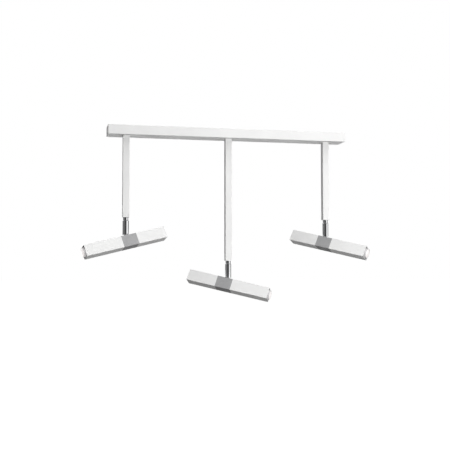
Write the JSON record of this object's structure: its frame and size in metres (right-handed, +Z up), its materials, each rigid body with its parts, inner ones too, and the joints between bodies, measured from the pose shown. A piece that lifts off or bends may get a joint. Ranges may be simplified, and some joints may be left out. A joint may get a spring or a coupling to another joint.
{
  "type": "suspended ceiling spotlight bar",
  "caption": "Long flat ceiling rail with square drop stems, each carrying a chrome swivel and an adjustable square tube spotlight with a domed lens.",
  "frame": {"origin": "middle of the rail's top face, on the ceiling", "axes": "+X along the rail, -Y towards the front, +Z up to the ceiling"},
  "size_m": [1.1181, 0.2665, 0.6766],
  "materials": {
    "white_paint": "satin powder coat",
    "chrome": "polished",
    "satin_collar": "satin nickel",
    "turned_steel": "turned",
    "galvanised_steel": "galvanised",
    "zinc_screw": "zinc plated",
    "spring_steel": "blackened",
    "aluminium": "plain extruded",
    "white_plastic": "fine matt",
    "frosted_ring": "frosted, lit by the lens",
    "grey_bezel": "matt",
    "lens_diffuser": "clear-coated diffuser",
    "led_board": "white solder resist",
    "driver_case": "fine matt",
    "terminal_plastic": "plain",
    "lead_insulation": "smooth"
  },
  "bodies": {
    "rail": {"rail_housing": "white_paint", "end_caps": "white_paint", "ceiling_bracket": "galvanised_steel", "rail_screws": "zinc_screw", "led_driver": "driver_case", "terminal_block": "terminal_plastic", "rail_wiring": "lead_insulation", "stem_plugs": "galvanised_steel", "stem_nipples": "zinc_screw", "stem_nuts": "zinc_screw", "swivel_necks": "chrome", "spigot_clips": "spring_steel", "stem_left": "white_paint", "stem_centre": "white_paint", "stem_right": "white_paint"},
    "swivel_left": {"swivel_sleeve_left": "chrome", "swivel_yoke_left": "turned_steel"},
    "cross_left": {"joint_cross_left": "turned_steel"},
    "head_left": {"head_fork_left": "turned_steel", "collar_left": "satin_collar", "stud_nut_left": "zinc_screw", "light_tube_left": "white_paint", "rear_tube_left": "white_paint", "tube_screws_left": "zinc_screw", "rear_cap_left": "white_plastic", "lens_bezel_left": "grey_bezel", "lens_ring_left": "frosted_ring", "lens_left": "lens_diffuser", "led_board_left": "led_board", "heat_sink_left": "aluminium"},
    "swivel_centre": {"swivel_sleeve_centre": "chrome", "swivel_yoke_centre": "turned_steel"},
    "cross_centre": {"joint_cross_centre": "turned_steel"},
    "head_centre": {"head_fork_centre": "turned_steel", "collar_centre": "satin_collar", "stud_nut_centre": "zinc_screw", "light_tube_centre": "white_paint", "rear_tube_centre": "white_paint", "tube_screws_centre": "zinc_screw", "rear_cap_centre": "white_plastic", "lens_bezel_centre": "grey_bezel", "lens_ring_centre": "frosted_ring", "lens_centre": "lens_diffuser", "led_board_centre": "led_board", "heat_sink_centre": "aluminium"},
    "swivel_right": {"swivel_sleeve_right": "chrome", "swivel_yoke_right": "turned_steel"},
    "cross_right": {"joint_cross_right": "turned_steel"},
    "head_right": {"head_fork_right": "turned_steel", "collar_right": "satin_collar", "stud_nut_right": "zinc_screw", "light_tube_right": "white_paint", "rear_tube_right": "white_paint", "tube_screws_right": "zinc_screw", "rear_cap_right": "white_plastic", "lens_bezel_right": "grey_bezel", "lens_ring_right": "frosted_ring", "lens_right": "lens_diffuser", "led_board_right": "led_board", "heat_sink_right": "aluminium"}
  },
  "joints": [
    {"name": "pan_left", "type": "hinge", "parent": "rail", "child": "swivel_left", "pos_m": [-0.403, 0, -0.414], "axis": [0, 0, 1], "range_deg": [-175, 175]},
    {"name": "tilt_left", "type": "hinge", "parent": "swivel_left", "child": "cross_left", "pos_m": [-0.403, 0, -0.414], "axis": [0.2504, -0.9681, 0], "range_deg": [-33.4, 6.6]},
    {"name": "lean_left", "type": "hinge", "parent": "cross_left", "child": "head_left", "pos_m": [-0.403, 0, -0.414], "axis": [-0.9418, -0.2436, -0.2317], "range_deg": [-40.5, 3.5]},
    {"name": "pan_centre", "type": "hinge", "parent": "rail", "child": "swivel_centre", "pos_m": [0, 0, -0.579], "axis": [0, 0, 1], "range_deg": [-175, 175]},
    {"name": "tilt_centre", "type": "hinge", "parent": "swivel_centre", "child": "cross_centre", "pos_m": [0, 0, -0.579], "axis": [0.4772, 0.8788, 0], "range_deg": [-32.5, 7.5]},
    {"name": "lean_centre", "type": "hinge", "parent": "cross_centre", "child": "head_centre", "pos_m": [0, 0, -0.579], "axis": [0.858, -0.4658, -0.2164], "range_deg": [-0.5, 43.5]},
    {"name": "pan_right", "type": "hinge", "parent": "rail", "child": "swivel_right", "pos_m": [0.403, 0, -0.414], "axis": [0, 0, 1], "range_deg": [-175, 175]},
    {"name": "tilt_right", "type": "hinge", "parent": "swivel_right", "child": "cross_right", "pos_m": [0.403, 0, -0.414], "axis": [0.7133, 0.7009, 0], "range_deg": [-32.5, 7.5]},
    {"name": "lean_right", "type": "hinge", "parent": "cross_right", "child": "head_right", "pos_m": [0.403, 0, -0.414], "axis": [0.6843, -0.6963, -0.2164], "range_deg": [-0.5, 43.5]}
  ]
}
